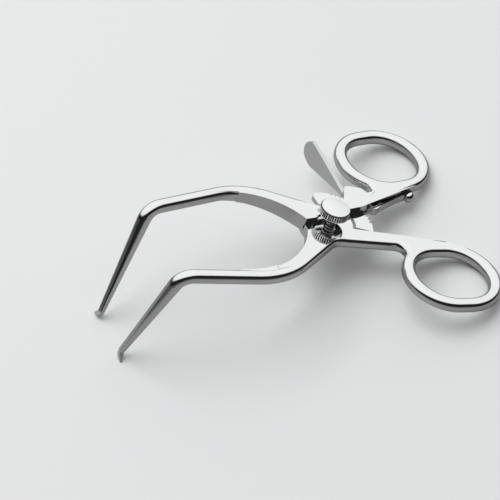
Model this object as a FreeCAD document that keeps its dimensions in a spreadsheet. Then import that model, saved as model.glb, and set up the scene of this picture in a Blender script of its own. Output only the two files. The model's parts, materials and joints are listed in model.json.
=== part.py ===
import FreeCAD, Part
import math
import os
import Sketcher

# Self retaining retractor in stainless steel, all sizes in millimetres.
# Working frame of the instrument: X runs back to the finger rings, Y to the far half,
# Z up out of the plane of the handles. Z is zero on the lap plane, where the far half lies
# on the near half. The last step lays the whole instrument down on its tips and rings.

Vector = FreeCAD.Vector
Rotation = FreeCAD.Rotation
Placement = FreeCAD.Placement

SIZES = {
    # both halves, seen from above
    "bar_thickness": 4.7,
    "arm_width": 4.6,
    "bar_round": 1.9,
    "ring_bar": 4.8,
    "ring_reach": 35.6,
    "ring_spread": 30.4,
    "ring_half_length": 16.5,
    "ring_half_width": 14.5,
    "ring_turn": 6.0,
    "crotch_reach": 20.0,
    "crotch_radius": 3.0,
    "bend_reach": 0.2,
    "bend_spread": 14.8,
    "bend_radius": 9.0,
    "bow_reach": -34.5,
    "bow_crest": 20.9,
    "bow_radius": 28.0,
    "elbow_reach": -62.7,
    "elbow_spread": 16.9,
    "fork_reach": -38.6,
    "fork_spread": -11.2,
    "fork_radius": 30.3,
    "edge_corner_reach": 0.6,
    "edge_corner_spread": 1.0,
    # elbow, finger and hooked tip
    "elbow_radius": 6.0,
    "finger_forward": 10.7,
    "finger_inward": 6.6,
    "finger_drop": 41.8,
    "finger_length": 37.5,
    "finger_tip_width": 2.1,
    "finger_tip_depth": 2.0,
    "finger_tip_round": 0.45,
    "hook_radius": 1.6,
    "hook_turn": 62.0,
    "hook_length": 2.6,
    "hook_point": 0.7,
    # joint
    "pivot_spread": 1.8,
    "lap_gap": 0.05,
    "upper_layer": 2.75,
    "slab_depth": 3.2,
    "slab_front": -28.0,
    "slab_back": 26.0,
    "hub_radius": 8.6,
    "hub_fork_radius": 10.9,
    "cheek_gap": 0.3,
    "shaft_radius": 2.25,
    "shaft_clearance": 0.05,
    "knob_radius": 5.6,
    "knob_height": 3.3,
    "knob_gap": 0.7,
    "knob_chamfer": 0.4,
    "knob_dome": 0.45,
    "knurl_count": 40,
    "knurl_depth": 0.3,
    "knob_recess_radius": 6.0,
    "knob_recess_depth": 1.5,
    # toothed sector, slit and guide pin
    "sector_outer": 16.0,
    "sector_inner": 9.0,
    "sector_thickness": 1.8,
    "sector_start": -27.0,
    "sector_end": 93.0,
    "sector_corner": 2.2,
    "sector_gap": 0.1,
    "tooth_pitch": 6.0,
    "tooth_depth": 0.9,
    "slit_radius": 8.9,
    "slit_width": 1.3,
    "slit_end": -30.0,
    "guide_pin_radius": 0.6,
    "guide_pin_turn": 22.0,
    "press_gap": 0.01,
    "pin_gap": 0.04,
    # release lever
    "lever_pin_radius": 0.9,
    "lever_pin_reach": 19.3,
    "lever_pin_turn": 33.0,
    "lever_eye_radius": 2.3,
    "pawl_ahead": 4.0,
    "pawl_air": 0.1,
    "pawl_drop_turn": 8.0,
    "neck_reach": 12.7,
    "neck_spread": 16.6,
    "paddle_reach": 9.5,
    "paddle_spread": 43.6,
    "paddle_width": 9.2,
    "paddle_thickness": 1.5,
    "tail_reach": 20.2,
    "tail_spread": 7.3,
    "tail_radius": 0.8,
    # leaf spring and its screw
    "spring_thickness": 0.7,
    "spring_width": 3.2,
    "spring_middle": -0.7,
    "spring_gap": 0.12,
    "spring_screw_reach": 38.0,
    "spring_screw_radius": 0.9,
    "spring_head_radius": 2.2,
    # far finger is this much longer, so that both tips touch the table
    "far_finger_extra": 1.9,
}

doc = FreeCAD.newDocument("retractor")
sheet = doc.addObject("Spreadsheet::Sheet", "Sizes")
for row, (alias, value) in enumerate(SIZES.items(), start=1):
    sheet.set("A%d" % row, alias)
    sheet.set("B%d" % row, str(value))
    sheet.setAlias("B%d" % row, alias)
doc.recompute()


def size(alias):
    return float(getattr(sheet, alias))


def around(radius, degrees):
    """A point at this radius and turn about the pivot."""
    turn = math.radians(degrees)
    return radius * math.cos(turn), size("pivot_spread") + radius * math.sin(turn)


# Outlines: lines and arcs that run round circles like a belt round pulleys.

def belt(items):
    """Closed outline round (x, y, radius) items, tangent to each circle.

    The outline turns left round a radius above zero, right round one below zero,
    and has a sharp corner where the radius is zero."""
    headings = []
    for (ax, ay, ar), (bx, by, br) in zip(items, items[1:] + items[:1]):
        gap = math.hypot(bx - ax, by - ay)
        lean = math.asin(max(-1.0, min(1.0, (br - ar) / gap)))
        headings.append(math.atan2(by - ay, bx - ax) - lean)

    def touch(item, heading):
        x, y, radius = item
        return x + radius * math.sin(heading), y - radius * math.cos(heading)

    spans = []
    for index, item in enumerate(items):
        arrive, leave = headings[index - 1], headings[index]
        if item[2]:
            turn = (leave - arrive) % (2 * math.pi)
            if item[2] < 0 and turn:
                turn -= 2 * math.pi
            spans.append([touch(item, arrive), touch(item, arrive + turn / 2), touch(item, leave)])
        following = items[(index + 1) % len(items)]
        ends = [touch(item, leave), touch(following, leave)]
        if math.dist(*ends) > 1e-6:
            spans.append(ends)
    return spans


def mirrored(spans, side):
    """The same outline on the far side (1) or the near side (-1)."""
    return [[(x, side * y) for x, y in span] for span in spans]


def draw(sketch, spans):
    """Lines for spans of two points and arcs for spans of three, joined end to end."""
    ends = []
    for span in spans:
        points = [Vector(x, y, 0) for x, y in span]
        if len(points) == 2:
            edge = Part.LineSegment(*points)
        else:
            edge = Part.Arc(*points)
        index = sketch.addGeometry(edge, False)
        first = 1 if sketch.getPoint(index, 1).distanceToPoint(points[0]) < 1e-6 else 2
        ends.append((index, first, 3 - first))
    for (here, _, last), (there, first, _) in zip(ends, ends[1:] + ends[:1]):
        sketch.addConstraint(Sketcher.Constraint("Coincident", here, last, there, first))


# Features of one body.

def origin_item(body, role):
    return next(item for item in body.Origin.OriginFeatures if item.Role == role)


def new_body(label):
    body = doc.addObject("PartDesign::Body", label)
    body.Label = label
    return body


def new_sketch(body, name, offset=None, role="XY_Plane", level=None):
    """A sketch on one of the body's own planes, moved by a placement or lifted to a level."""
    sketch = body.newObject("Sketcher::SketchObject", name)
    sketch.AttachmentSupport = [(origin_item(body, role), "")]
    sketch.MapMode = "FlatFace"
    if offset is not None:
        sketch.AttachmentOffset = offset
    if level is not None:
        sketch.setExpression(".AttachmentOffset.Base.z", level)
    return sketch


def extrude(body, name, spans_or_circles, level, length, cut=False, up=True, role="XY_Plane"):
    """A pad or a pocket of an outline, from a level upwards or downwards."""
    sketch = new_sketch(body, name + "_sketch", role=role, level=level)
    if isinstance(spans_or_circles, dict):
        for (x, y), radius in spans_or_circles.items():
            add_circle(sketch, x, y, radius)
    elif isinstance(spans_or_circles[0][0], list):
        for spans in spans_or_circles:
            draw(sketch, spans)
    else:
        draw(sketch, spans_or_circles)
    kind = "PartDesign::Pocket" if cut else "PartDesign::Pad"
    feature = body.newObject(kind, name)
    feature.Profile = sketch
    feature.setExpression("Length", length)
    feature.Reversed = up if cut else not up
    before = body.Shape.Volume if body.Shape and not body.Shape.isNull() else 0.0
    doc.recompute()
    change = body.Shape.Volume - before
    if (change >= 0) == cut:
        raise ValueError("%s of %s changed the volume by %.3f" % (name, body.Label, change))
    return feature


def add_circle(sketch, x, y, radius):
    """A circle whose radius is bound to an expression of the sheet."""
    index = sketch.addGeometry(Part.Circle(Vector(x, y, 0), Vector(0, 0, 1), 1.0), False)
    sketch.addConstraint(Sketcher.Constraint("DistanceX", -1, 1, index, 3, x))
    sketch.addConstraint(Sketcher.Constraint("DistanceY", -1, 1, index, 3, y))
    bound = sketch.addConstraint(Sketcher.Constraint("Radius", index, 1.0))
    sketch.setExpression("Constraints[%d]" % bound, radius)


def round_edges(body, name, radius, wanted):
    """A fillet on the edges of the body's last feature that the test accepts."""
    base = body.Tip
    chosen = ["Edge%d" % (i + 1) for i, edge in enumerate(base.Shape.Edges) if wanted(edge)]
    fillet = body.newObject("PartDesign::Fillet", name)
    fillet.Base = (base, chosen)
    fillet.setExpression("Radius", radius)
    doc.recompute()
    return fillet


# The two halves are mirror images in outline. Each is one bar that runs from the elbow
# through the joint to the finger ring.

def ring_centres():
    """The two centres of the oval finger ring."""
    half = size("ring_half_length") - size("ring_half_width")
    turn = math.radians(size("ring_turn"))
    x, y = size("ring_reach"), size("ring_spread")
    step = half * math.cos(turn), half * math.sin(turn)
    return (x - step[0], y - step[1]), (x + step[0], y + step[1])


def arm_heading():
    """Heading of the straight arm from the elbow to the bow."""
    bow = bow_centre()
    dx, dy = bow[0] - size("elbow_reach"), bow[1] - size("elbow_spread")
    return math.atan2(dy, dx) + math.asin(size("bow_radius") / math.hypot(dx, dy))


def bow_centre():
    return size("bow_reach"), size("bow_crest") - size("bow_radius")


def crotch_centre(outer):
    """Centre of the hollow corner where the shank turns into the ring."""
    ring_x, ring_y = ring_centres()[0]
    reach = size("crotch_reach")
    span = outer + size("crotch_radius")
    return reach, ring_y - math.sqrt(span ** 2 - (ring_x - reach) ** 2) - 0.001


def bar_outline():
    half = size("arm_width") / 2
    outer = size("ring_half_width") + size("ring_bar") / 2
    front, back = ring_centres()
    bow = bow_centre()
    heading = arm_heading()
    ex, ey = size("elbow_reach"), size("elbow_spread")
    side = (-math.sin(heading) * half, math.cos(heading) * half)
    corner = (size("edge_corner_reach"), size("edge_corner_spread"), 0)
    return belt([
        (ex + side[0], ey + side[1], 0),
        (bow[0], bow[1], -size("bow_radius") - half),
        (size("bend_reach"), size("bend_spread"), size("bend_radius") - half),
        crotch_centre(outer) + (size("crotch_radius"),),
        (front[0], front[1], -outer),
        (back[0], back[1], -outer),
        corner,
        (bow[0], bow[1], size("bow_radius") - half),
        (ex - side[0], ey - side[1], 0),
    ])


def ring_hole():
    inner = size("ring_half_width") - size("ring_bar") / 2
    front, back = ring_centres()
    return belt([(front[0], front[1], inner), (back[0], back[1], inner)])


def edge_line(reach):
    """Spread of the shank's straight inner edge at this reach."""
    outer = size("ring_half_width") + size("ring_bar") / 2
    x, y = ring_centres()[1]
    dx, dy = x - size("edge_corner_reach"), y - size("edge_corner_spread")
    slope = math.atan2(dy, dx) - math.asin(outer / math.hypot(dx, dy))
    return size("edge_corner_spread") + (reach - size("edge_corner_reach")) * math.tan(slope)


def path(start, *steps):
    """Closed outline from a start point; a step is its end, or an arc's middle and end."""
    spans = []
    here = start
    for step in steps:
        if isinstance(step[0], tuple):
            spans.append([here, step[0], step[1]])
        else:
            spans.append([here, step])
        here = spans[-1][-1]
    if math.dist(here, start) > 1e-6:
        spans.append([here, start])
    return spans


def turn_arc(radius, first, last):
    """Middle and end of an arc about the pivot between two turns."""
    return around(radius, (first + last) / 2), around(radius, last)


def ring_slice(inner, outer, first, last):
    """Outline of a piece of a ring about the pivot."""
    return path(around(inner, first), around(outer, first), turn_arc(outer, first, last),
                around(inner, last), turn_arc(inner, last, first))


def shank_web():
    """Flat web with a sharp inner edge, which fades into the round ring bar."""
    cover = size("bar_round") + 0.3
    corner = size("edge_corner_reach")
    back = ring_centres()[1][0]
    ahead = size("crotch_reach") + 3
    return path((corner, edge_line(corner)), (back + 4, edge_line(back + 4)),
                (back - 8, edge_line(back - 8) + cover * 0.5),
                (ahead, edge_line(ahead) + cover), (corner, edge_line(corner) + 2 * cover))


def fork_point(reach):
    """A point of the hollow fork edge between arm and hub."""
    drop = size("fork_radius") ** 2 - (reach - size("fork_reach")) ** 2
    return reach, size("fork_spread") + math.sqrt(drop)


def fork_start(spread):
    span = size("fork_radius") ** 2 - (spread - size("fork_spread")) ** 2
    return size("fork_reach") + math.sqrt(span), spread


def fork_web(spread):
    """Web between arm and hub, with the hollow edge that faces the other half."""
    start = fork_start(spread)
    return path(start, (size("edge_corner_reach"), spread),
                (size("edge_corner_reach"), size("bend_spread") - size("bend_radius")),
                (-14.0, 13.5), (-24.0, 18.6), (-31.0, 19.6), fork_point(-31.0),
                (fork_point(-20.0), start))


def slab_outline():
    """Deeper joint region of the far half, flush with the bar's sides."""
    half = size("arm_width") / 2
    bow = bow_centre()
    front = size("slab_front")
    reach = (size("bow_radius") + half) * 1.0001
    rise = math.sqrt(reach ** 2 - (front - bow[0]) ** 2)
    outer = size("ring_half_width") + size("ring_bar") / 2
    back = size("slab_back")
    spans = belt([
        (front, bow[1] + rise, 0),
        (bow[0], bow[1], -size("bow_radius") - half),
        (size("bend_reach"), size("bend_spread"), size("bend_radius") - half),
        crotch_centre(outer) + (size("crotch_radius"),),
        (back - 1.2, edge_line(back) + 7.0, 0),
        (back, edge_line(back), 0),
        (size("edge_corner_reach"), edge_line(size("edge_corner_reach")), 0),
        (fork_start(1.4)[0], 1.4, 0),
        (fork_point(front)[0], fork_point(front)[1], 0),
    ])
    fork = [fork_start(1.4), fork_point((fork_start(1.4)[0] + front) / 2), fork_point(front)]
    return [fork if math.dist(span[0], fork[0]) < 1e-6 else span for span in spans]


def bar_section(body, name, placement, width, depth, radius):
    """A rounded rectangle square to the bar."""
    sketch = new_sketch(body, name, offset=placement)
    w, d = width / 2 - radius, depth / 2 - radius
    draw(sketch, belt([(w, -d, radius), (w, d, radius), (-w, d, radius), (-w, -d, radius)]))
    return sketch


def revolve(body, name, sketch, axis, degrees):
    """Turns a section about a line of its own sketch."""
    line = [Vector(*point, 0) for point in axis]
    sketch.addGeometry(Part.LineSegment(*line), True)
    feature = body.newObject("PartDesign::Revolution", name)
    feature.Profile = sketch
    feature.ReferenceAxis = (sketch, ["Axis0"])
    feature.Angle = degrees
    doc.recompute()
    return feature


def loft(body, name, first, last):
    feature = body.newObject("PartDesign::AdditiveLoft", name)
    feature.Profile = first
    feature.Sections = [last]
    feature.Ruled = True
    doc.recompute()
    return feature


def bend(body, name, frame, section, direction, radius):
    """Bends a section from its own normal towards a direction, and returns its new frame."""
    normal = frame.Rotation.multVec(Vector(0, 0, 1))
    axis = normal.cross(direction)
    axis.normalize()
    degrees = math.degrees(normal.getAngle(direction))
    inward = axis.cross(normal)
    centre = frame.Base + inward * radius
    local = frame.inverse()
    start = local.multVec(centre)
    end = local.multVec(centre + axis * 5)
    revolve(body, name, section, [(start.x, start.y), (end.x, end.y)], degrees)
    turn = Placement(Vector(), Rotation(axis, degrees), centre)
    return turn.multiply(frame)


def finger(body, side, middle, extra=0.0):
    """Elbow, straight tapering finger and hooked point, from the front end of the arm."""
    heading = arm_heading()
    ahead = Vector(-math.cos(heading), -side * math.sin(heading), 0)
    across = Vector(0, 0, 1).cross(ahead)
    start = Vector(size("elbow_reach"), side * size("elbow_spread"), middle)
    frame = Placement(start, Rotation(across, Vector(0, 0, 1), ahead, "ZXY"))
    width, depth, radius = size("arm_width"), size("bar_thickness"), size("bar_round")
    section = bar_section(body, "elbow_sketch", frame, width, depth, radius)
    down = Vector(-size("finger_forward"), -side * size("finger_inward"), -size("finger_drop"))
    down.normalize()
    frame = bend(body, "elbow", frame, section, down, size("elbow_radius"))
    root = bar_section(body, "finger_root_sketch", frame, width, depth, radius)
    reach = down * (size("finger_length") + extra)
    frame = Placement(frame.Base + reach, frame.Rotation)
    tip = size("finger_tip_width"), size("finger_tip_depth"), size("finger_tip_round")
    end = bar_section(body, "finger_end_sketch", frame, *tip)
    loft(body, "finger", root, end)
    section = bar_section(body, "hook_sketch", frame, *tip)
    turn = math.radians(size("hook_turn"))
    out = Vector(0, side, 0)
    out = out - down * out.dot(down)
    out.normalize()
    aim = down * math.cos(turn) + out * math.sin(turn)
    frame = bend(body, "hook", frame, section, aim, size("hook_radius"))
    root = bar_section(body, "point_root_sketch", frame, *tip)
    frame = Placement(frame.Base + aim * size("hook_length"), frame.Rotation)
    point = size("hook_point")
    end = bar_section(body, "point_end_sketch", frame, point, point, point * 0.3)
    loft(body, "point", root, end)


def half_bar(body, side, top):
    """Rounded bar and ring of one half, with its finger. The top is an expression."""
    outline = mirrored(bar_outline(), side) + []
    sketch = new_sketch(body, "bar_sketch", level=top)
    draw(sketch, outline)
    draw(sketch, mirrored(ring_hole(), side))
    pad = body.newObject("PartDesign::Pad", "bar")
    pad.Profile = sketch
    pad.setExpression("Length", "Sizes.bar_thickness")
    pad.Reversed = True
    doc.recompute()
    cap = size("elbow_reach") + 1.0

    def long_edge(edge):
        box = edge.BoundBox
        return box.ZLength < 1e-6 and box.XMax > cap

    round_edges(body, "bar_rounding", "Sizes.bar_round", long_edge)


def tooth_gaps():
    """The gaps between the teeth, one of them in line with the lowered pawl."""
    outer, pitch = size("sector_outer"), size("tooth_pitch")
    root = outer - size("tooth_depth")
    spans = []
    for step in range(-9, 4):
        middle = pawl_tip(size("pawl_drop_turn"))[2] + step * pitch
        corners = []
        for radius, half in ((root, -0.18), (outer + 0.4, -0.85), (outer + 0.4, 0.85), (root, 0.18)):
            corners.append(around(radius, middle + math.degrees(half / radius)))
        spans.append(path(*corners))
    return spans


def pawl_tip(turn):
    """Tip of the pawl with the lever turned: its point, and its turn about the pivot."""
    reach, ahead = size("lever_pin_reach"), size("pawl_ahead")
    drop = reach - math.sqrt((size("sector_outer") + size("pawl_air")) ** 2 - ahead ** 2)
    angle = math.radians(turn)
    out = -drop * math.cos(angle) - ahead * math.sin(angle)
    along = -drop * math.sin(angle) + ahead * math.cos(angle)
    polar = size("lever_pin_turn") + math.degrees(math.atan2(along, reach + out))
    x, y = around(math.hypot(reach + out, along), polar)
    return x, y, polar


def near_half():
    body = new_body("near_half")
    half_bar(body, -1, "0")
    finger(body, -1, -size("bar_thickness") / 2)
    thick = "Sizes.bar_thickness"
    extrude(body, "shank_web", mirrored(shank_web(), -1), "0", thick, up=False)
    extrude(body, "fork_web", mirrored(fork_web(0.0), -1), "0", thick, up=False)
    pivot = around(0, 0)
    extrude(body, "hub", {pivot: "Sizes.hub_radius"}, "0", thick, up=False)
    broad = size("hub_fork_radius")
    extrude(body, "hub_fork", path(pivot, around(broad, 125), turn_arc(broad, 125, 196)),
            "0", thick, up=False)
    outer, inner = size("sector_outer"), size("sector_inner")
    first, last, corner = size("sector_start"), size("sector_end"), size("sector_corner")
    lean = math.degrees(math.asin(corner / (outer - corner)))
    base = math.sqrt((outer - corner) ** 2 - corner ** 2)
    middle = around(outer - corner, last - lean)
    swing = math.radians((last - lean + last + 90) / 2)
    bulge = middle[0] + corner * math.cos(swing), middle[1] + corner * math.sin(swing)
    sector = path(around(inner, first), around(outer, first),
                  turn_arc(outer, first, last - lean), (bulge, around(base, last)),
                  around(inner, last), turn_arc(inner, last, first))
    plate = "Sizes.sector_thickness"
    extrude(body, "sector", sector, "0", plate, up=False)
    extrude(body, "tooth_gaps", tooth_gaps(), "0", plate, cut=True, up=False)
    radius, half, end = size("slit_radius"), size("slit_width") / 2, size("slit_end")
    tip = around(radius, end)
    turn = math.radians(end - 90)
    round_end = tip[0] + half * math.cos(turn), tip[1] + half * math.sin(turn)
    slit = path(around(radius + half, 100), turn_arc(radius + half, 100, end),
                (round_end, around(radius - half, end)), turn_arc(radius - half, end, 100))
    extrude(body, "slit", slit, "0", thick, cut=True, up=False)
    extrude(body, "pivot_bore", {pivot: "Sizes.shaft_radius + Sizes.shaft_clearance"}, "0", thick,
            cut=True, up=False)
    return body


def spring_screw_frame():
    """Where the spring screw enters the shank's inner side, Z pointing out of the shank."""
    reach = size("spring_screw_reach")
    slope = edge_line(reach + 0.5) - edge_line(reach - 0.5)
    heading = math.atan(slope)
    out = Vector(math.sin(heading), -math.cos(heading), 0)
    along = Vector(math.cos(heading), math.sin(heading), 0)
    base = Vector(reach, edge_line(reach), size("spring_middle"))
    return Placement(base, Rotation(along, Vector(0, 0, 1), out, "ZXY"))


def far_half():
    body = new_body("far_half")
    top = "Sizes.lap_gap + Sizes.upper_layer"
    half_bar(body, 1, top)
    high = size("lap_gap") + size("upper_layer")
    finger(body, 1, high - size("bar_thickness") / 2, size("far_finger_extra"))
    extrude(body, "shank_web", shank_web(), top, "Sizes.bar_thickness", up=False)
    extrude(body, "fork_web", fork_web(1.4), top, "Sizes.bar_thickness", up=False)
    extrude(body, "slab", slab_outline(), "0.45", "Sizes.slab_depth + 0.45", up=False)
    full = top + " + Sizes.slab_depth"
    lobe = belt([(8.3, 9.6, 0), (19.3, 11.6, 0), (17.2, 13.8, 1.5), (12.9, 15.3, 1.5)])
    extrude(body, "lobe", lobe, top, full, up=False)
    edge = path((-13.0, 1.4), (-11.0, 1.4), (-6.0, 1.8), (3.0, 2.6), (8.4, 4.5),
                (14.2, edge_line(14.2)), (14.2, -6.0), (-13.0, -6.0))
    extrude(body, "lap_edge", edge, top, full, cut=True, up=False)
    pivot = around(0, 0)
    extrude(body, "knob_recess", {pivot: "Sizes.knob_recess_radius"}, top,
            "Sizes.upper_layer - Sizes.knob_recess_depth", cut=True, up=False)
    extrude(body, "shaft_notch", {pivot: "Sizes.shaft_radius + Sizes.shaft_clearance"}, top, full,
            cut=True, up=False)
    below = "Sizes.slab_depth + Sizes.lap_gap"
    broad = size("hub_fork_radius") + size("cheek_gap")
    extrude(body, "hub_room", {pivot: "Sizes.hub_radius"}, "Sizes.lap_gap", below,
            cut=True, up=False)
    extrude(body, "hub_fork_room", path(pivot, around(broad, 95), turn_arc(broad, 95, 215)),
            "Sizes.lap_gap", below, cut=True, up=False)
    layer = "Sizes.sector_thickness + Sizes.lap_gap + Sizes.sector_gap"
    window = ring_slice(8.0, size("sector_outer") + size("cheek_gap"), -30, 134)
    extrude(body, "sector_room", window, "Sizes.lap_gap", layer, cut=True, up=False)
    slot = path((9.0, -2.0), (22.9, 2.0), (22.9, 11.0), (19.6, 17.6), (10.0, 18.0))
    extrude(body, "lever_slot", slot, "Sizes.lap_gap", layer, cut=True, up=False)
    pin = around(size("lever_pin_reach"), size("lever_pin_turn"))
    extrude(body, "lever_pin_bore", {pin: "Sizes.lever_pin_radius + Sizes.press_gap"}, top, full,
            cut=True, up=False)
    pin = around(size("slit_radius"), size("guide_pin_turn"))
    extrude(body, "guide_pin_bore", {pin: "Sizes.guide_pin_radius + Sizes.press_gap"}, top,
            "Sizes.upper_layer", cut=True, up=False)
    sketch = new_sketch(body, "spring_screw_sketch", offset=spring_screw_frame())
    add_circle(sketch, 0, 0, "Sizes.spring_screw_radius + Sizes.press_gap")
    cut_in(body, "spring_screw_bore", sketch, "4.2")
    side = Placement(Vector(), Rotation(Vector(1, 0, 0), 90))
    sketch = new_sketch(body, "underside_sketch", offset=side)
    floor = high - size("bar_thickness")
    deep = -size("slab_depth")
    draw(sketch, path((-28.5, floor), (-15.0, deep), (-15.0, deep - 1), (-28.5, deep - 1)))
    cut_in(body, "underside", sketch, "30")
    return body


def cut_in(body, name, sketch, length):
    """A pocket whose direction is checked by the volume it takes away."""
    feature = body.newObject("PartDesign::Pocket", name)
    feature.Profile = sketch
    feature.setExpression("Length", length)
    before = body.Shape.Volume
    doc.recompute()
    if body.Shape.Volume > before - 0.1:
        raise ValueError("%s took nothing away" % name)
    return feature


def straight_pin(label, x, y, radius, bottom, height):
    body = new_body(label)
    extrude(body, "pin", {(x, y): radius}, bottom, height)
    return body


def guide_pin():
    x, y = around(size("slit_radius"), size("guide_pin_turn"))
    return straight_pin("guide_pin", x, y, "Sizes.guide_pin_radius", "-1.7",
                        "1.7 + Sizes.lap_gap + Sizes.upper_layer")


def lever_pin():
    x, y = around(size("lever_pin_reach"), size("lever_pin_turn"))
    return straight_pin("lever_pin", x, y, "Sizes.lever_pin_radius", "-Sizes.slab_depth",
                        "Sizes.slab_depth + Sizes.lap_gap + Sizes.upper_layer")


def release_lever():
    body = new_body("release_lever")
    plate = "Sizes.sector_thickness"
    px, py = around(size("lever_pin_reach"), size("lever_pin_turn"))
    eye = size("lever_eye_radius")
    tx, ty, polar = pawl_tip(0)
    out = math.cos(math.radians(polar)), math.sin(math.radians(polar))

    def near_tip(outward, along):
        return tx + out[0] * outward - out[1] * along, ty + out[1] * outward + out[0] * along, 0

    pawl = belt([near_tip(0, -0.2), near_tip(0.95, -0.6), (px, py, eye), near_tip(2.9, 0.8),
                 near_tip(0.95, 0.6), near_tip(0, 0.2)])
    extrude(body, "pawl", pawl, "0", plate, up=False)
    stem = belt([(px, py, eye * 0.8), (size("neck_reach"), size("neck_spread"), 0.95)])
    extrude(body, "stem", stem, "0", plate, up=False)
    tail = belt([(px, py, eye * 0.8), (size("tail_reach"), size("tail_spread"), size("tail_radius"))])
    extrude(body, "tail", tail, "0", plate, up=False)
    nx, ny = size("neck_reach"), size("neck_spread")
    ex, ey = size("paddle_reach"), size("paddle_spread")
    length = math.hypot(ex - nx, ey - ny)
    along = Vector(ex - nx, ey - ny, 0)
    along.normalize()
    face = along.cross(Vector(0, 0, 1))
    frame = Placement(Vector(nx, ny, 0), Rotation(along, Vector(0, 0, 1), face, "ZXY"))
    sketch = new_sketch(body, "paddle_sketch", offset=frame)
    half = size("paddle_width") / 2
    low, high = -size("sector_thickness") + 0.05, -0.05
    draw(sketch, belt([(0.0, low, 0), (1.0, low, 0), (length - half - 1.5, -0.3, half),
                       (length - half + 0.2, 0.0, half - 0.2), (1.0, high, 0), (0.0, high, 0)]))
    pad = body.newObject("PartDesign::Pad", "paddle")
    pad.Profile = sketch
    pad.setExpression("Length", "Sizes.paddle_thickness")
    pad.Midplane = True
    doc.recompute()
    extrude(body, "pin_bore", {(px, py): "Sizes.lever_pin_radius + Sizes.pin_gap"}, "0", plate,
            cut=True, up=False)
    return body


def turned(body, name, points):
    """A solid of revolution about the body's own Z axis from (radius, height) points."""
    sketch = new_sketch(body, name + "_sketch", role="XZ_Plane")
    draw(sketch, path(*points))
    feature = body.newObject("PartDesign::Revolution", name)
    feature.Profile = sketch
    feature.ReferenceAxis = (sketch, ["V_Axis"])
    feature.Angle = 360.0
    doc.recompute()
    return feature


def cap(radius, base, height):
    """Middle and end of a round cap's profile, which meets the axis squarely."""
    ball = (radius ** 2 + height ** 2) / (2 * height)
    centre = base + height - ball
    half = math.asin(radius / ball) / 2
    if height > ball:
        half = math.pi / 2 - half
    return (ball * math.sin(half), centre + ball * math.cos(half)), (0.0, base + height)


def thumb_screw():
    body = new_body("thumb_screw")
    radius, height = size("knob_radius"), size("knob_height")
    bevel, dome = size("knob_chamfer"), size("knob_dome")
    base = size("lap_gap") + size("upper_layer") + size("knob_gap")
    top = base + height
    shaft = size("shaft_radius")
    foot = -size("bar_thickness")
    turned(body, "turning", [
        (0.0, foot), (shaft - 0.4, foot), (shaft, foot + 0.4), (shaft, base),
        (radius - bevel, base), (radius, base + bevel), (radius, top - bevel),
        (radius - bevel, top), cap(radius - bevel, top, dome),
    ])
    deep = size("knurl_depth")
    half = math.pi * radius / size("knurl_count") * 0.62
    sketch = new_sketch(body, "knurl_sketch", level="%.3f" % (base - 0.1))
    draw(sketch, path((radius - deep, 0.0), (radius + 0.1, -half), (radius + 0.1, half)))
    groove = body.newObject("PartDesign::Pocket", "knurl_groove")
    groove.Profile = sketch
    groove.setExpression("Length", "Sizes.knob_height + 0.3")
    groove.Reversed = True
    doc.recompute()
    pattern = body.newObject("PartDesign::PolarPattern", "knurl")
    pattern.Originals = [groove]
    pattern.Axis = (origin_item(body, "Z_Axis"), [""])
    pattern.Angle = 360.0
    pattern.Occurrences = int(size("knurl_count"))
    body.Tip = pattern
    doc.recompute()
    return body


def leaf_spring():
    """Leaf in plan, standing on edge along the shank's inner side."""
    body = new_body("leaf_spring")
    thick, gap = size("spring_thickness"), size("spring_gap")
    screw = size("spring_screw_reach")
    slope = edge_line(1.0) - edge_line(0.0)
    lean = math.cos(math.atan(slope))
    sine = math.sin(math.atan(slope))

    def beside(reach, away):
        """A point at this reach along the edge line and this far out from it."""
        return reach + away * sine, edge_line(reach) - away * lean

    rest = (edge_line(size("tail_reach")) - size("tail_spread")) * lean + size("tail_radius")
    lift = rest + 0.05
    outline = path(
        beside(screw + 1.7, gap), beside(screw - 6, gap), beside(22.0, lift - 0.05),
        beside(19.2, lift + 0.1), beside(18.6, lift + 0.5), beside(20.4, lift + 1.25),
        beside(22.5, lift + thick), beside(screw - 6, gap + thick), beside(screw + 1.7, gap + thick))
    sketch = new_sketch(body, "leaf_sketch", level="Sizes.spring_middle - Sizes.spring_width / 2")
    draw(sketch, outline)
    pad = body.newObject("PartDesign::Pad", "leaf")
    pad.Profile = sketch
    pad.setExpression("Length", "Sizes.spring_width")
    doc.recompute()
    sketch = new_sketch(body, "hole_sketch", offset=spring_screw_frame())
    add_circle(sketch, 0, 0, "Sizes.spring_screw_radius + 0.15")
    hole = body.newObject("PartDesign::Pocket", "hole")
    hole.Profile = sketch
    hole.Length = 3.0
    hole.Midplane = True
    doc.recompute()
    return body


def spring_screw():
    body = new_body("spring_screw")
    shank, head = size("spring_screw_radius"), size("spring_head_radius")
    seat = size("spring_gap") * 2 + size("spring_thickness")
    turned(body, "turning", [
        (0.0, -4.0), (shank - 0.3, -4.0), (shank, -3.7), (shank, seat), (head - 0.3, seat),
        (head, seat + 0.4), cap(head, seat + 0.4, head * 0.9),
    ])
    return body


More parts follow.
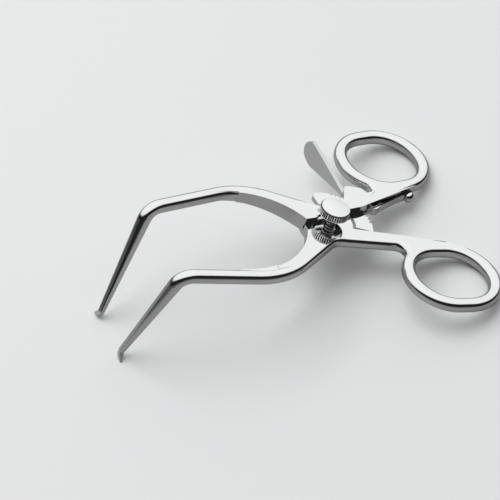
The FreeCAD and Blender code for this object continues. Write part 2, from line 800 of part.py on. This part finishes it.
def rest_placement(near, far):
    """Lays the instrument on its two finger rings and its two tips, centred over the origin."""
    clouds = []
    for body in (near, far):
        points = body.Shape.tessellate(0.05)[0]
        clouds.append(([p for p in points if p.x > 15], [p for p in points if p.x < -60]))
    stands = [clouds[0][0], clouds[1][0], clouds[0][1]]
    up = Vector(0, 0, 1)
    for _ in range(20):
        a, b, c = (min(stand, key=up.dot) for stand in stands)
        up = (b - a).cross(c - a)
        up.normalize()
        if up.z < 0:
            up = up * -1
    lift = min(up.dot(point) for point in clouds[1][1]) - up.dot(a)
    print("far tip stands above the table by %.3f" % lift)
    ahead = Vector(1, 0, 0) - up * up.x
    ahead.normalize()
    turn = Rotation(ahead, up.cross(ahead), up, "ZXY").inverted()
    points = [turn.multVec(point) for body in (near, far) for point in body.Shape.tessellate(0.05)[0]]
    low = Vector(*(min(point[i] for point in points) for i in range(3)))
    high = Vector(*(max(point[i] for point in points) for i in range(3)))
    middle = (low + high) * 0.5
    return Placement(Vector(-middle.x, -middle.y, -low.z), turn)


near, far = near_half(), far_half()
screw, knob = spring_screw(), thumb_screw()
PIECES = [near, far, knob, release_lever(), lever_pin(), guide_pin(), leaf_spring(), screw]
rest = rest_placement(near, far)
for piece in PIECES:
    piece.Placement = rest
knob.Placement = rest.multiply(Placement(Vector(*around(0, 0), 0), Rotation()))
screw.Placement = rest.multiply(spring_screw_frame())
doc.recompute()

faults = [item.Label for item in doc.Objects if {"Invalid", "Error"} & set(item.State)]
if faults:
    raise ValueError("features that failed: " + ", ".join(faults))
os.makedirs("parts", exist_ok=True)
for piece in PIECES:
    if piece.Shape.isNull() or not piece.Shape.isValid():
        raise ValueError("shape of %s is not valid" % piece.Label)
    print(piece.Label, "solids", len(piece.Shape.Solids), "volume %.1f" % piece.Shape.Volume)
    piece.Shape.exportStep("parts/%s.step" % piece.Label)
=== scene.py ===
import json
import math
import bpy
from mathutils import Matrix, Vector


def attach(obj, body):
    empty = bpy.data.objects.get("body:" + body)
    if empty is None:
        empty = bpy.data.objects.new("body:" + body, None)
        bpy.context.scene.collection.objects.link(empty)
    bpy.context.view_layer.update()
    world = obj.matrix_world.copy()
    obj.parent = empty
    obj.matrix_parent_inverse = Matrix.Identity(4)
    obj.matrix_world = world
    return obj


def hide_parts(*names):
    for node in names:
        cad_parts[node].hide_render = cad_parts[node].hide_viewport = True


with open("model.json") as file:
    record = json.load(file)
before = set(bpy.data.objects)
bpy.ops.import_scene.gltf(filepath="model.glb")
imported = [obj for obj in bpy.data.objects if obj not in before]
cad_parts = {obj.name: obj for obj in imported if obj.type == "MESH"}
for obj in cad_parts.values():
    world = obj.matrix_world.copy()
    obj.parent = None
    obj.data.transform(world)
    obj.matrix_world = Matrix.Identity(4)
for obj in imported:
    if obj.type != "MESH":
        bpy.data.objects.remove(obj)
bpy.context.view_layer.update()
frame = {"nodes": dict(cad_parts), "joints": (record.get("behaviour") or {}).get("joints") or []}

bl_info = {
    "name": "Retractor looks",
    "version": (1, 0, 0),
    "blender": (4, 5, 0),
    "location": "View3D > Sidebar > Retractor",
    "description": "Polished steel, knurling, thread and a plain studio for a hinged retractor",
    "category": "Object",
}

MM = 0.001


# Frame of the instrument: UP is the pivot's axis, BACK runs from the pivot to the rings.
# Lengths along it are in millimetres, and heights are measured from the lap plane.

HINGE = next(item for item in frame["joints"] if item["name"] == "main_hinge")
UP = Vector(HINGE["axis"]).normalized()
PIVOT = Vector(HINGE["pos_m"])
BACK = (Vector((1, 0, 0)) - UP * UP.x).normalized()
SIDE = UP.cross(BACK)


def place(x, y, z):
    """The point of the scene that lies at x, y and z from the pivot."""
    return PIVOT + (BACK * x + SIDE * y + UP * z) * MM


# Materials. Texture scales are per metre, and reliefs are in metres.

WEAR_SCALE, WEAR_DETAIL = 900.0, 4.0
WAVE_SCALE, WAVE_DETAIL = 160.0, 1.0
WAVE_STRENGTH, WAVE_RELIEF = 0.04, 0.0004
GRAIN_SCALE, GRAIN_DETAIL = 5000.0, 3.0
GRAIN_STRENGTH, GRAIN_RELIEF = 0.15, 0.00005
SATIN_METALLIC = 0.75
# Painted shade: near-black steel colour for the knurl grooves and the thread's roots, where shade falls.
SHADE_PAINT_COLOUR = (0.12, 0.115, 0.11)
GROOVE_ROUGHNESS = 0.5
BRIGHT_ROUGHNESS = 0.3


def new_material(name):
    material = bpy.data.materials.new(name)
    material.use_nodes = True
    tree = material.node_tree
    return material, tree, tree.nodes["Principled BSDF"]


def add_node(tree, kind, **values):
    """Adds a node; a value goes to the input of that name, or else to the node's own setting."""
    node = tree.nodes.new(kind)
    for key, value in values.items():
        if key in node.inputs:
            node.inputs[key].default_value = value
        else:
            setattr(node, key, value)
    return node


def noise(tree, scale, detail):
    """Noise in the piece's own coordinates."""
    coordinates = add_node(tree, "ShaderNodeTexCoord")
    texture = add_node(tree, "ShaderNodeTexNoise", Scale=scale, Detail=detail)
    tree.links.new(coordinates.outputs["Object"], texture.inputs["Vector"])
    return texture.outputs["Fac"]


def ramp(tree, value, stops):
    """A colour ramp from (position, grey) stops."""
    node = add_node(tree, "ShaderNodeValToRGB")
    points = node.color_ramp.elements
    while len(points) < len(stops):
        points.new(0.5)
    for point, (position, grey) in zip(points, stops):
        point.position = position
        point.color = (grey, grey, grey, 1.0)
    tree.links.new(value, node.inputs["Fac"])
    return node.outputs["Color"]


def relief(tree, shader, height, strength, distance):
    """A bump of the surface that follows the height."""
    bump = add_node(tree, "ShaderNodeBump", Strength=strength, Distance=distance)
    tree.links.new(height, bump.inputs["Height"])
    tree.links.new(bump.outputs["Normal"], shader.inputs["Normal"])


def polished_steel(name, colour, roughness):
    """Mirror-polished steel with the faint waviness of hand polishing."""
    _, tree, shader = new_material(name)
    shader.inputs["Base Color"].default_value = (*colour, 1.0)
    shader.inputs["Metallic"].default_value = 1.0
    wear = noise(tree, WEAR_SCALE, WEAR_DETAIL)
    tones = ramp(tree, wear, [(0.35, roughness * 0.7), (0.7, roughness * 1.5)])
    tree.links.new(tones, shader.inputs["Roughness"])
    relief(tree, shader, noise(tree, WAVE_SCALE, WAVE_DETAIL), WAVE_STRENGTH, WAVE_RELIEF)


def satin_steel(name, colour, roughness):
    """Satin steel: fine grain that scatters the light."""
    _, tree, shader = new_material(name)
    shader.inputs["Base Color"].default_value = (*colour, 1.0)
    shader.inputs["Metallic"].default_value = SATIN_METALLIC
    grain = noise(tree, GRAIN_SCALE, GRAIN_DETAIL)
    tones = ramp(tree, grain, [(0.3, roughness * 0.85), (0.7, roughness * 1.15)])
    tree.links.new(tones, shader.inputs["Roughness"])
    relief(tree, shader, grain, GRAIN_STRENGTH, GRAIN_RELIEF)


def finish_of(name):
    return bpy.data.materials[name]


def dress(name, finish):
    """Gives a carried-over CAD node one finish."""
    mesh = frame["nodes"][name].data
    mesh.materials.clear()
    mesh.materials.append(finish)
    for polygon in mesh.polygons:
        polygon.material_index = 0


def dress_hook(name, finish):
    """Gives the hooked tip of a dressed half a finish of its own."""
    mesh = frame["nodes"][name].data
    mesh.materials.append(finish)
    for polygon in mesh.polygons:
        at_fingers = polygon.center.x < 0
        if at_fingers and polygon.center.z < HOOK_HEIGHT * MM:
            polygon.material_index = 1


def add_piece(name, mesh, body, *finishes):
    """Links a new piece that moves with a body."""
    piece = bpy.data.objects.new(name, mesh)
    bpy.context.scene.collection.objects.link(piece)
    for finish in finishes:
        mesh.materials.append(finish)
    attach(piece, body)
    return piece


# The pivot screw, with the knurling and the thread that the CAD solid leaves out.

KNOB_RADIUS = 5.6
KNOB_BASE = 3.5
KNOB_TOP = 6.8
KNOB_CREST = 7.25
KNOB_BEVEL = 0.4
KNOB_EDGE = KNOB_RADIUS - KNOB_BEVEL
KNOB_CENTRE = 0.5
DOME_RINGS = (0.9, 0.75, 0.55, 0.35, 0.15, 0.03)
RIM_STEPS = 4
KNURL_SEGMENTS = 8
GROOVE_WIDTH = 0.3
SHAFT_FOOT = -4.7
SHAFT_INTO_KNOB = 0.1
SHAFT_SEGMENTS = 64
THREAD_CREST = 2.25
THREAD_ROOT = 1.8
THREAD_DEPTH = THREAD_CREST - THREAD_ROOT
THREAD_STEPS = 8
# Below this radius the shaft is painted dark: painted shade at the thread's roots.
THREAD_SHADE_RADIUS = THREAD_ROOT + 0.62 * THREAD_DEPTH
KNURL_LIFT = 0.3
KNURL_SHARE = 0.35
SHARP_ANGLE = 28.0
# Finish indices of the screw; the third one is painted shade.
POLISHED, BRIGHT, PAINTED_SHADE = range(3)


def turned_rows(rows, segments, points, faces):
    """Adds a surface of revolution from rows; a row gives radius and height at each turn."""
    start = len(points)
    for row in rows:
        for step in range(segments):
            turn = step / segments
            radius, height = row(turn)
            angle = 2 * math.pi * turn
            points.append(place(radius * math.cos(angle), radius * math.sin(angle), height))
    for level in range(len(rows) - 1):
        for step in range(segments):
            here = start + level * segments + step
            beside = start + level * segments + (step + 1) % segments
            faces.append((here, beside, beside + segments, here + segments))
    faces.append(tuple(start + step for step in reversed(range(segments))))
    last = start + (len(rows) - 1) * segments
    faces.append(tuple(last + step for step in range(segments)))


def plain_row(radius, height):
    return lambda turn: (radius, height)


def knurled_row(height, knurls, depth):
    """One level of the rim with its V grooves."""
    def row(turn):
        across = abs((turn * knurls) % 1.0 - 0.5)
        return KNOB_RADIUS - depth * max(0.0, 1.0 - across / GROOVE_WIDTH), height
    return row


def thread_row(height, pitch):
    """One level of the thread, whose crest climbs with the turn."""
    def row(turn):
        across = abs((height / pitch - turn) % 1.0 - 0.5) * 2
        return THREAD_CREST - THREAD_DEPTH * across, height
    return row


def shaft_rows(pitch):
    """The threaded shaft, from its foot up into the knob."""
    step = pitch / THREAD_STEPS
    rows = [plain_row(THREAD_ROOT, SHAFT_FOOT)]
    height = SHAFT_FOOT + 2 * step
    while height < KNOB_BASE - step:
        rows.append(thread_row(height, pitch))
        height += step
    rows.append(plain_row(THREAD_ROOT, KNOB_BASE + SHAFT_INTO_KNOB))
    return rows


def knob_rows(knurls, depth):
    """The knob: flat underside, knurled rim between bevels, and low dome."""
    rows = [plain_row(KNOB_CENTRE, KNOB_BASE), plain_row(KNOB_EDGE, KNOB_BASE)]
    rim_foot = KNOB_BASE + KNOB_BEVEL
    rim = KNOB_TOP - KNOB_BEVEL - rim_foot
    for part in range(RIM_STEPS + 1):
        rows.append(knurled_row(rim_foot + rim * part / RIM_STEPS, knurls, depth))
    rows.append(plain_row(KNOB_EDGE, KNOB_TOP))
    rise = KNOB_CREST - KNOB_TOP
    for part in DOME_RINGS:
        rows.append(plain_row(KNOB_EDGE * part, KNOB_TOP + rise * (1 - part ** 2)))
    return rows


def screw_finish(centre, knurl_depth):
    """The finish of a face, from where its centre lies on the screw; faces deep in the knurl grooves and
    at the thread's roots get painted shade.
    """
    away = (centre - PIVOT) / MM
    level = away.dot(UP)
    reach = (away - UP * level).length
    if level > KNOB_TOP and reach < KNOB_EDGE:
        return BRIGHT
    # Painted shade deep in the knurl grooves.
    if level > KNOB_BASE + KNURL_LIFT and reach < KNOB_RADIUS - knurl_depth * KNURL_SHARE:
        return PAINTED_SHADE
    # Painted shade at the thread's roots and on the plain shaft.
    if reach < THREAD_SHADE_RADIUS:
        return PAINTED_SHADE
    return BRIGHT if reach < THREAD_CREST else POLISHED


def screw_mesh(knurls, knurl_depth, pitch):
    points, faces = [], []
    turned_rows(shaft_rows(pitch), SHAFT_SEGMENTS, points, faces)
    turned_rows(knob_rows(knurls, knurl_depth), knurls * KNURL_SEGMENTS, points, faces)
    mesh = bpy.data.meshes.new("pivot_screw")
    mesh.from_pydata(points, [], faces)
    mesh.validate()
    for polygon in mesh.polygons:
        polygon.use_smooth = True
        polygon.material_index = screw_finish(polygon.center, knurl_depth)
    mesh.set_sharp_from_angle(angle=math.radians(SHARP_ANGLE))
    return mesh


# Soft run-outs, where a flat web fades into a rounded bar. The sizes of the halves repeat
# the solids' own, with spreads measured from the instrument's middle line.

BAR_THICKNESS = 4.7
BAR_ROUND = 1.9
FAR_TOP = 2.8
PIVOT_SPREAD = 1.8
HOOK_HEIGHT = 3.5
BOW_REACH, BOW_CENTRE, BOW_RADIUS = -34.5, -7.1, 28.0
FORK_REACH, FORK_CENTRE, FORK_RADIUS = -38.6, -11.2, 30.3
WEB_ENDS, WEB_FADES = -30.9, -45.5
WEB_OVERLAP = 0.3
EDGE_REACH, EDGE_SPREAD, EDGE_SLOPE = 0.6, 1.0, 17.777
EDGE_ENDS = (26.0, 41.589)
RING_CENTRE = (37.589, 30.609)
RING_OUTER = 16.9
RING_START, RING_SWEEP = -76.0, 38.0
RING_COVER = BAR_ROUND + 0.4
LOBE_END = ((4.0, 8.6), (9.0, 7.7), (19.0, 10.2), (23.5, 13.5), (19.0, 12.5), (8.3, 10.2))
LOBE_FLOOR = 0.9
SKIN = 0.004
RUN_STEPS = 10


def prism(name, outline, low, high):
    """A straight prism over an outline of (x, y) points."""
    count = len(outline)
    points = [place(x, y, level) for level in (low, high) for x, y in outline]
    faces = [tuple(reversed(range(count))), tuple(range(count, 2 * count))]
    for index in range(count):
        beside = (index + 1) % count
        faces.append((index, beside, count + beside, count + index))
    mesh = bpy.data.meshes.new(name)
    mesh.from_pydata(points, [], faces)
    return mesh


def on_side(outline, side):
    """The outline on the far side (1) or mirrored to the near side (-1), measured from the pivot."""
    return [(x, side * y - PIVOT_SPREAD) for x, y in outline]


def arc_points(reach, centre, radius, first, last):
    """Points of an arc between two reaches along the instrument."""
    points = []
    for step in range(RUN_STEPS + 1):
        x = first + (last - first) * step / RUN_STEPS
        points.append((x, centre + math.sqrt(radius ** 2 - (x - reach) ** 2)))
    return points


def web_end(side):
    """Outline of the fork web's run-out along the bar, towards the elbow."""
    edge = arc_points(FORK_REACH, FORK_CENTRE, FORK_RADIUS, WEB_ENDS, WEB_FADES)
    middle = arc_points(BOW_REACH, BOW_CENTRE, BOW_RADIUS - WEB_OVERLAP, WEB_FADES, WEB_ENDS)
    outline = on_side(edge + middle, side)
    return outline if side < 0 else outline[::-1]


def ring_point(radius, angle):
    x, y = RING_CENTRE
    return x + radius * math.cos(angle), y + radius * math.sin(angle)


def ring_end():
    """Outline of the near shank web's run-out, along its inner edge and round the ring bar."""
    slope = math.tan(math.radians(EDGE_SLOPE))
    edge = [(reach, EDGE_SPREAD + (reach - EDGE_REACH) * slope) for reach in EDGE_ENDS]
    inside = [(reach, spread + RING_COVER) for reach, spread in edge]
    for step in range(1, RUN_STEPS + 1):
        share = step / RUN_STEPS
        angle = math.radians(RING_START + RING_SWEEP * share)
        edge.append(ring_point(RING_OUTER - BAR_ROUND * share ** 2, angle))
        inside.append(ring_point(RING_OUTER - RING_COVER, angle))
    return on_side(edge + inside[::-1], -1)[::-1]


# Settings that a user would change.

class SteelSettings(bpy.types.PropertyGroup):
    """Finish of the steel."""
    polished_colour: bpy.props.FloatVectorProperty(
        name="Polished steel", description="Colour of the mirror-polished steel",
        subtype="COLOR", size=3, default=(0.88, 0.885, 0.89))
    polished_roughness: bpy.props.FloatProperty(
        name="Polish roughness", description="Roughness of the mirror-polished steel",
        default=0.07, min=0.0, max=1.0, subtype="FACTOR")
    satin_colour: bpy.props.FloatVectorProperty(
        name="Satin steel", description="Colour of the satin faces",
        subtype="COLOR", size=3, default=(0.74, 0.745, 0.75))
    satin_roughness: bpy.props.FloatProperty(
        name="Satin roughness", description="Roughness of the satin faces",
        default=0.38, min=0.0, max=1.0, subtype="FACTOR")


class ScrewSettings(bpy.types.PropertyGroup):
    """Knurling and thread of the pivot screw."""
    knurls: bpy.props.IntProperty(
        name="Knurls", description="Number of grooves round the knob", default=40, min=8)
    knurl_depth: bpy.props.FloatProperty(
        name="Knurl depth", description="Depth of a groove of the knob", default=0.34 * MM,
        min=0.0, precision=5, unit="LENGTH")
    thread_pitch: bpy.props.FloatProperty(
        name="Thread pitch", description="Height of one turn of the thread", default=1.25 * MM,
        min=0.5 * MM, precision=5, unit="LENGTH")


class StudioSettings(bpy.types.PropertyGroup):
    """Floor, light and camera."""
    floor_colour: bpy.props.FloatVectorProperty(
        name="Floor", description="Colour of the floor", subtype="COLOR", size=3,
        default=(0.70, 0.705, 0.71))
    light_power: bpy.props.FloatProperty(
        name="Softbox power", description="Power of the large softbox above", default=12.0,
        min=0.0, unit="POWER")
    sky_strength: bpy.props.FloatProperty(
        name="Sky", description="Strength of the pale surroundings", default=0.98, min=0.0)
    lens: bpy.props.FloatProperty(
        name="Lens", description="Focal length of the camera", default=182.0, min=1.0,
        subtype="DISTANCE_CAMERA")


class RETRACTOR_OT_steel(bpy.types.Operator):
    """Make the steel finishes"""
    bl_idname = "retractor.steel"
    bl_label = "Steel finishes"

    def execute(self, context):
        settings = context.scene.retractor_steel
        polished_steel("polished steel", settings.polished_colour, settings.polished_roughness)
        satin_steel("satin steel", settings.satin_colour, settings.satin_roughness)
        satin_steel("bright satin steel", settings.polished_colour, BRIGHT_ROUGHNESS)
        # Near-black steel that paints shade into the knurl grooves and the thread's roots.
        satin_steel("painted shade steel", SHADE_PAINT_COLOUR, GROOVE_ROUGHNESS)
        return {"FINISHED"}


class RETRACTOR_OT_halves(bpy.types.Operator):
    """Finish the near and the far half"""
    bl_idname = "retractor.halves"
    bl_label = "Halves"

    def execute(self, context):
        steel = finish_of("polished steel")
        for name in ("near_half", "far_half"):
            dress(name, steel)
            dress_hook(name, finish_of("bright satin steel"))
        depth = BAR_THICKNESS + SKIN
        far_high = FAR_TOP + SKIN
        near = prism("near_web_end", web_end(-1), -depth, SKIN)
        add_piece("near_web_end", near, "near", steel)
        far = prism("far_web_end", web_end(1), FAR_TOP - depth, far_high)
        add_piece("far_web_end", far, "far", steel)
        ring = prism("near_ring_end", ring_end(), -depth, SKIN)
        add_piece("near_ring_end", ring, "near", steel)
        lobe = prism("lobe_end", on_side(LOBE_END, 1), LOBE_FLOOR, far_high)
        add_piece("lobe_end", lobe, "far", steel)
        return {"FINISHED"}


class RETRACTOR_OT_screw(bpy.types.Operator):
    """Make the pivot screw with its knurling and thread"""
    bl_idname = "retractor.screw"
    bl_label = "Thumb screw"

    def execute(self, context):
        settings = context.scene.retractor_screw
        dress("thumb_screw", finish_of("polished steel"))
        mesh = screw_mesh(settings.knurls, settings.knurl_depth / MM, settings.thread_pitch / MM)
        # The third finish paints shade into the grooves and the thread's roots.
        finishes = [finish_of(name) for name in ("polished steel", "bright satin steel", "painted shade steel")]
        piece = add_piece("pivot_screw", mesh, "screw", *finishes)
        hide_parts("thumb_screw")
        return {"FINISHED"}


class RETRACTOR_OT_lever(bpy.types.Operator):
    """Finish the release lever and its pins"""
    bl_idname = "retractor.lever"
    bl_label = "Release lever"

    def execute(self, context):
        dress("release_lever", finish_of("satin steel"))
        for name in ("lever_pin", "guide_pin"):
            dress(name, finish_of("polished steel"))
        return {"FINISHED"}


class RETRACTOR_OT_spring(bpy.types.Operator):
    """Finish the leaf spring and its screw"""
    bl_idname = "retractor.spring"
    bl_label = "Leaf spring"

    def execute(self, context):
        for name in ("leaf_spring", "spring_screw"):
            dress(name, finish_of("polished steel"))
        return {"FINISHED"}


# The stage. Places and sizes here are in metres, and turns in degrees.

FLOOR_SPAN = 6.0
PAPER_ROUGHNESS = 0.8
# Painted reflection: the greys that glossy rays see on the floor, by distance from the instrument.
PAINTED_FLOOR_REFLECTION = ((0.05, 0.28), (0.2, 0.04))
SKY_TILT = (0.1, 0.6, 1.0)
SKY_TONES = ((0.42, 0.015), (0.6, 0.9), (1.0, 1.0))
SOFTBOX_PLACE = Vector((-0.3, 0.5, 1.3))
SOFTBOX_SIZE = 1.2
CAMERA_PLACE = (-0.235142, -0.543592, 0.707340)
CAMERA_TURN = (40.498, 0.3677, -22.588)
SENSOR_WIDTH = 36.0
VIEW_START, VIEW_END = 0.01, 50.0


def floor_paper(colour):
    """Pale paper with a painted reflection: glossy rays see it darker, the more so far from the
    instrument.
    """
    material, tree, shader = new_material("floor paper")
    shader.inputs["Roughness"].default_value = PAPER_ROUGHNESS
    paper = add_node(tree, "ShaderNodeMix", data_type="RGBA")
    seen, mirrored = [socket for socket in paper.inputs if socket.type == "RGBA"]
    seen.default_value = (*colour, 1.0)
    where = add_node(tree, "ShaderNodeTexCoord")
    distance = add_node(tree, "ShaderNodeVectorMath", operation="LENGTH")
    tree.links.new(where.outputs["Object"], distance.inputs[0])
    # Painted reflection: glossy rays see the floor dark grey, darker still far from the instrument.
    tree.links.new(ramp(tree, distance.outputs["Value"], PAINTED_FLOOR_REFLECTION), mirrored)
    ray = add_node(tree, "ShaderNodeLightPath")
    tree.links.new(ray.outputs["Is Glossy Ray"], paper.inputs["Factor"])
    result = next(socket for socket in paper.outputs if socket.type == "RGBA")
    tree.links.new(result, shader.inputs["Base Color"])
    return material


def add_floor(scene, colour):
    span = FLOOR_SPAN
    corners = [(-span, -span, 0), (span, -span, 0), (span, span, 0), (-span, span, 0)]
    mesh = bpy.data.meshes.new("floor")
    mesh.from_pydata(corners, [], [(0, 1, 2, 3)])
    mesh.materials.append(floor_paper(colour))
    floor = bpy.data.objects.new("floor", mesh)
    scene.collection.objects.link(floor)


def add_sky(scene, strength):
    """Pale surroundings with a dark zone low on the camera's side, for the steel to mirror."""
    world = bpy.data.worlds.new("studio")
    scene.world = world
    world.use_nodes = True
    tree = world.node_tree
    background = tree.nodes["Background"]
    direction = add_node(tree, "ShaderNodeTexCoord")
    height = add_node(tree, "ShaderNodeVectorMath", operation="DOT_PRODUCT")
    height.inputs[1].default_value = SKY_TILT
    tree.links.new(direction.outputs["Generated"], height.inputs[0])
    tree.links.new(ramp(tree, height.outputs["Value"], SKY_TONES), background.inputs["Color"])
    background.inputs["Strength"].default_value = strength


def add_softbox(scene, power):
    lamp = bpy.data.lights.new("softbox", "AREA")
    lamp.shape = "SQUARE"
    lamp.size = SOFTBOX_SIZE
    lamp.energy = power
    softbox = bpy.data.objects.new("softbox", lamp)
    softbox.location = SOFTBOX_PLACE
    softbox.rotation_euler = (-SOFTBOX_PLACE).to_track_quat("-Z", "Y").to_euler()
    softbox.visible_glossy = False
    scene.collection.objects.link(softbox)


def add_camera(scene, focal_length):
    """The camera of the photograph, solved from the rings and the mirrored halves."""
    lens = bpy.data.cameras.new("camera")
    lens.sensor_width = SENSOR_WIDTH
    lens.lens = focal_length
    lens.clip_start = VIEW_START
    lens.clip_end = VIEW_END
    camera = bpy.data.objects.new("camera", lens)
    camera.location = CAMERA_PLACE
    camera.rotation_euler = [math.radians(angle) for angle in CAMERA_TURN]
    scene.collection.objects.link(camera)
    scene.camera = camera


class RETRACTOR_OT_studio(bpy.types.Operator):
    """Make the floor, the light and the camera"""
    bl_idname = "retractor.studio"
    bl_label = "Studio"

    def execute(self, context):
        settings = context.scene.retractor_studio
        scene = context.scene
        add_floor(scene, settings.floor_colour)
        add_sky(scene, settings.sky_strength)
        add_softbox(scene, settings.light_power)
        add_camera(scene, settings.lens)
        scene.view_settings.view_transform = "Standard"
        return {"FINISHED"}


class RETRACTOR_PT_panel(bpy.types.Panel):
    """Buttons that build the retractor's looks"""
    bl_label = "Retractor"
    bl_idname = "RETRACTOR_PT_panel"
    bl_space_type = "VIEW_3D"
    bl_region_type = "UI"
    bl_category = "Retractor"

    def draw(self, context):
        scene = context.scene
        for settings in (scene.retractor_steel, scene.retractor_screw, scene.retractor_studio):
            for name in type(settings).__annotations__:
                self.layout.prop(settings, name)
        for step in STEPS:
            self.layout.operator(step.bl_idname)


GROUPS = (SteelSettings, ScrewSettings, StudioSettings)
STEPS = (RETRACTOR_OT_steel, RETRACTOR_OT_halves, RETRACTOR_OT_screw, RETRACTOR_OT_lever,
         RETRACTOR_OT_spring, RETRACTOR_OT_studio)
CLASSES = GROUPS + STEPS + (RETRACTOR_PT_panel,)


def register():
    for item in CLASSES:
        bpy.utils.register_class(item)
    bpy.types.Scene.retractor_steel = bpy.props.PointerProperty(type=SteelSettings)
    bpy.types.Scene.retractor_screw = bpy.props.PointerProperty(type=ScrewSettings)
    bpy.types.Scene.retractor_studio = bpy.props.PointerProperty(type=StudioSettings)


def unregister():
    del bpy.types.Scene.retractor_studio
    del bpy.types.Scene.retractor_screw
    del bpy.types.Scene.retractor_steel
    for item in reversed(CLASSES):
        bpy.utils.unregister_class(item)


def main():
    register()
    bpy.ops.retractor.steel()
    bpy.ops.retractor.halves()
    bpy.ops.retractor.screw()
    bpy.ops.retractor.lever()
    bpy.ops.retractor.spring()
    bpy.ops.retractor.studio()


if __name__ == "__main__":
    main()
